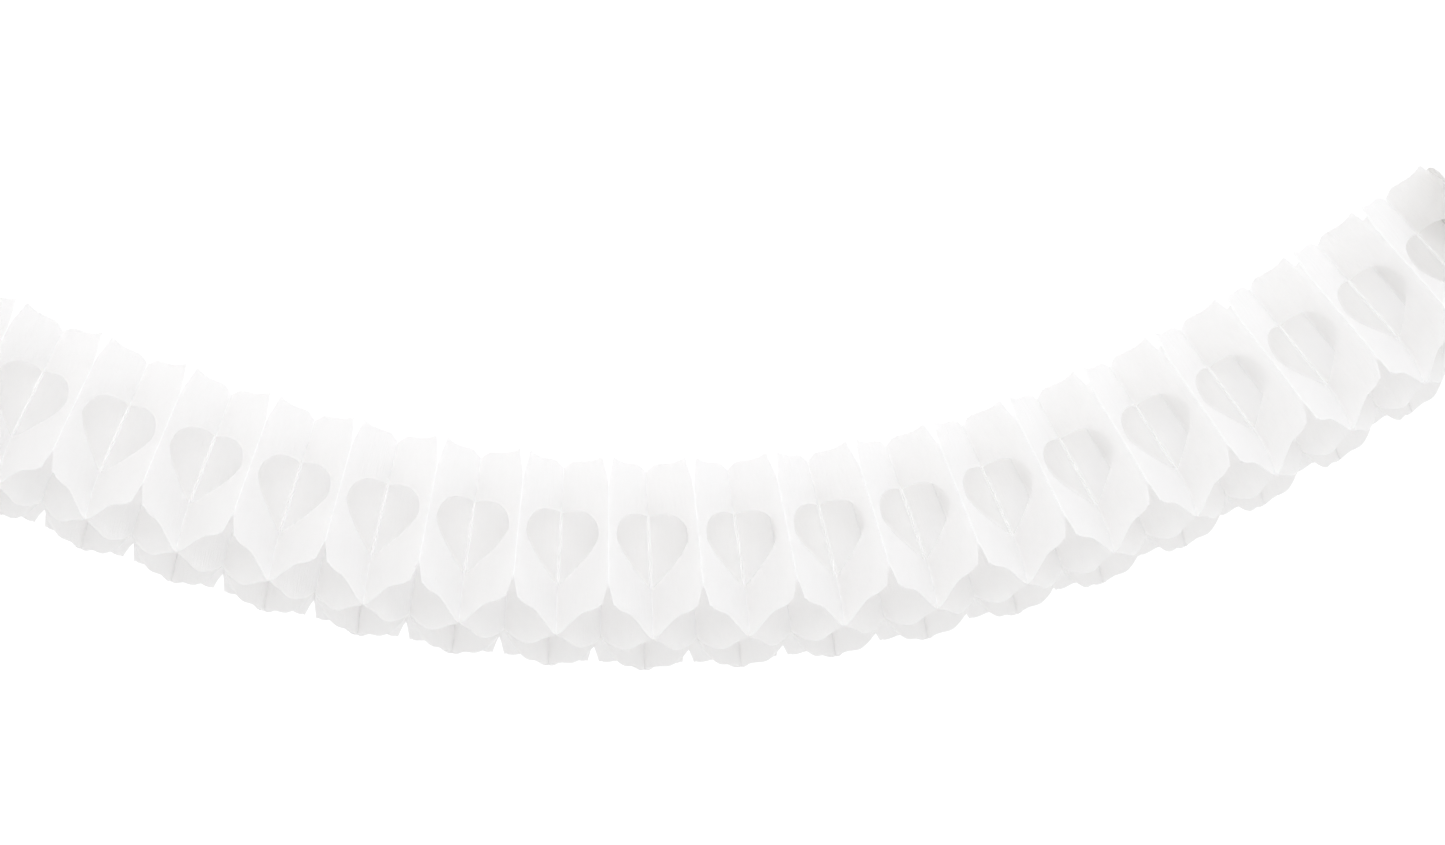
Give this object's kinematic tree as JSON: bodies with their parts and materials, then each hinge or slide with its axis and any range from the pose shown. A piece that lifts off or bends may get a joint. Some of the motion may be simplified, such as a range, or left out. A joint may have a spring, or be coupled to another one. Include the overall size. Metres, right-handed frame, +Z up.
{
  "type": "honeycomb paper garland",
  "caption": "White tissue-paper honeycomb garland with heart cut-outs along both sides, pulled open and hung as a swag between two end cards.",
  "frame": {"origin": "middle of the left end card's outer face, where the garland is fastened", "axes": "+X along the swag towards its right end, +Y across the swag away from the viewer, +Z up"},
  "size_m": [1.3567, 0.1146, 0.4596],
  "materials": {
    "tissue": "matte white tissue paper with a fine crepe, thin enough to glow where light comes through it",
    "card": "matte uncoated white board"
  },
  "bodies": {
    "right_end": {"end_card_right": "card"},
    "cell_19": {"sheet_37": "tissue", "sheet_38": "tissue"},
    "cell_18": {"sheet_35": "tissue", "sheet_36": "tissue"},
    "cell_17": {"sheet_33": "tissue", "sheet_34": "tissue"},
    "cell_16": {"sheet_31": "tissue", "sheet_32": "tissue"},
    "cell_15": {"sheet_29": "tissue", "sheet_30": "tissue"},
    "cell_14": {"sheet_27": "tissue", "sheet_28": "tissue"},
    "cell_13": {"sheet_25": "tissue", "sheet_26": "tissue"},
    "cell_12": {"sheet_23": "tissue", "sheet_24": "tissue"},
    "cell_11": {"sheet_21": "tissue", "sheet_22": "tissue"},
    "cell_10": {"sheet_19": "tissue", "sheet_20": "tissue"},
    "cell_09": {"sheet_17": "tissue", "sheet_18": "tissue"},
    "cell_08": {"sheet_15": "tissue", "sheet_16": "tissue"},
    "cell_07": {"sheet_13": "tissue", "sheet_14": "tissue"},
    "cell_06": {"sheet_11": "tissue", "sheet_12": "tissue"},
    "cell_05": {"sheet_09": "tissue", "sheet_10": "tissue"},
    "cell_04": {"sheet_07": "tissue", "sheet_08": "tissue"},
    "cell_03": {"sheet_05": "tissue", "sheet_06": "tissue"},
    "cell_02": {"sheet_03": "tissue", "sheet_04": "tissue"},
    "cell_01": {"sheet_01": "tissue", "sheet_02": "tissue", "end_card_left": "card"}
  },
  "joints": [
    {"name": "concertina_19", "type": "slide", "parent": "right_end", "child": "cell_19", "axis": [-0.7748, 0, -0.6322], "range_m": [-0.042, 0], "deforming": ["sheet_37", "sheet_38"]},
    {"name": "concertina_18", "type": "slide", "parent": "cell_19", "child": "cell_18", "axis": [-0.7848, 0, -0.6197], "range_m": [-0.042, 0], "deforming": ["sheet_35", "sheet_36"]},
    {"name": "concertina_17", "type": "slide", "parent": "cell_18", "child": "cell_17", "axis": [-0.8044, 0, -0.5941], "range_m": [-0.042, 0], "deforming": ["sheet_33", "sheet_34"]},
    {"name": "concertina_16", "type": "slide", "parent": "cell_17", "child": "cell_16", "axis": [-0.831, 0, -0.5563], "range_m": [-0.042, 0], "deforming": ["sheet_31", "sheet_32"]},
    {"name": "concertina_15", "type": "slide", "parent": "cell_16", "child": "cell_15", "axis": [-0.862, 0, -0.5069], "range_m": [-0.042, 0], "deforming": ["sheet_29", "sheet_30"]},
    {"name": "concertina_14", "type": "slide", "parent": "cell_15", "child": "cell_14", "axis": [-0.8946, 0, -0.4469], "range_m": [-0.042, 0], "deforming": ["sheet_27", "sheet_28"]},
    {"name": "concertina_13", "type": "slide", "parent": "cell_14", "child": "cell_13", "axis": [-0.926, 0, -0.3776], "range_m": [-0.042, 0], "deforming": ["sheet_25", "sheet_26"]},
    {"name": "concertina_12", "type": "slide", "parent": "cell_13", "child": "cell_12", "axis": [-0.9537, 0, -0.3006], "range_m": [-0.042, 0], "deforming": ["sheet_23", "sheet_24"]},
    {"name": "concertina_11", "type": "slide", "parent": "cell_12", "child": "cell_11", "axis": [-0.9759, 0, -0.2181], "range_m": [-0.042, 0], "deforming": ["sheet_21", "sheet_22"]},
    {"name": "concertina_10", "type": "slide", "parent": "cell_11", "child": "cell_10", "axis": [-0.9912, 0, -0.1323], "range_m": [-0.042, 0], "deforming": ["sheet_19", "sheet_20"]},
    {"name": "concertina_09", "type": "slide", "parent": "cell_10", "child": "cell_09", "axis": [-0.9989, 0, -0.046], "range_m": [-0.042, 0], "deforming": ["sheet_17", "sheet_18"]},
    {"name": "concertina_08", "type": "slide", "parent": "cell_09", "child": "cell_08", "axis": [-0.9993, 0, 0.038], "range_m": [-0.042, 0], "deforming": ["sheet_15", "sheet_16"]},
    {"name": "concertina_07", "type": "slide", "parent": "cell_08", "child": "cell_07", "axis": [-0.9931, 0, 0.1171], "range_m": [-0.042, 0], "deforming": ["sheet_13", "sheet_14"]},
    {"name": "concertina_06", "type": "slide", "parent": "cell_07", "child": "cell_06", "axis": [-0.982, 0, 0.1889], "range_m": [-0.042, 0], "deforming": ["sheet_11", "sheet_12"]},
    {"name": "concertina_05", "type": "slide", "parent": "cell_06", "child": "cell_05", "axis": [-0.9679, 0, 0.2512], "range_m": [-0.042, 0], "deforming": ["sheet_09", "sheet_10"]},
    {"name": "concertina_04", "type": "slide", "parent": "cell_05", "child": "cell_04", "axis": [-0.9533, 0, 0.302], "range_m": [-0.042, 0], "deforming": ["sheet_07", "sheet_08"]},
    {"name": "concertina_03", "type": "slide", "parent": "cell_04", "child": "cell_03", "axis": [-0.9405, 0, 0.3398], "range_m": [-0.042, 0], "deforming": ["sheet_05", "sheet_06"]},
    {"name": "concertina_02", "type": "slide", "parent": "cell_03", "child": "cell_02", "axis": [-0.9318, 0, 0.3631], "range_m": [-0.042, 0], "deforming": ["sheet_03", "sheet_04"]},
    {"name": "concertina_01", "type": "slide", "parent": "cell_02", "child": "cell_01", "axis": [-0.929, 0, 0.3702], "range_m": [-0.042, 0], "deforming": ["sheet_01", "sheet_02"]}
  ],
  "couplings": [
    {"joint": "concertina_18", "follows": "concertina_19", "ratio": 1},
    {"joint": "concertina_17", "follows": "concertina_19", "ratio": 1},
    {"joint": "concertina_16", "follows": "concertina_19", "ratio": 1},
    {"joint": "concertina_15", "follows": "concertina_19", "ratio": 1},
    {"joint": "concertina_14", "follows": "concertina_19", "ratio": 1},
    {"joint": "concertina_13", "follows": "concertina_19", "ratio": 1},
    {"joint": "concertina_12", "follows": "concertina_19", "ratio": 1},
    {"joint": "concertina_11", "follows": "concertina_19", "ratio": 1},
    {"joint": "concertina_10", "follows": "concertina_19", "ratio": 1},
    {"joint": "concertina_09", "follows": "concertina_19", "ratio": 1},
    {"joint": "concertina_08", "follows": "concertina_19", "ratio": 1},
    {"joint": "concertina_07", "follows": "concertina_19", "ratio": 1},
    {"joint": "concertina_06", "follows": "concertina_19", "ratio": 1},
    {"joint": "concertina_05", "follows": "concertina_19", "ratio": 1},
    {"joint": "concertina_04", "follows": "concertina_19", "ratio": 1},
    {"joint": "concertina_03", "follows": "concertina_19", "ratio": 1},
    {"joint": "concertina_02", "follows": "concertina_19", "ratio": 1},
    {"joint": "concertina_01", "follows": "concertina_19", "ratio": 1}
  ]
}
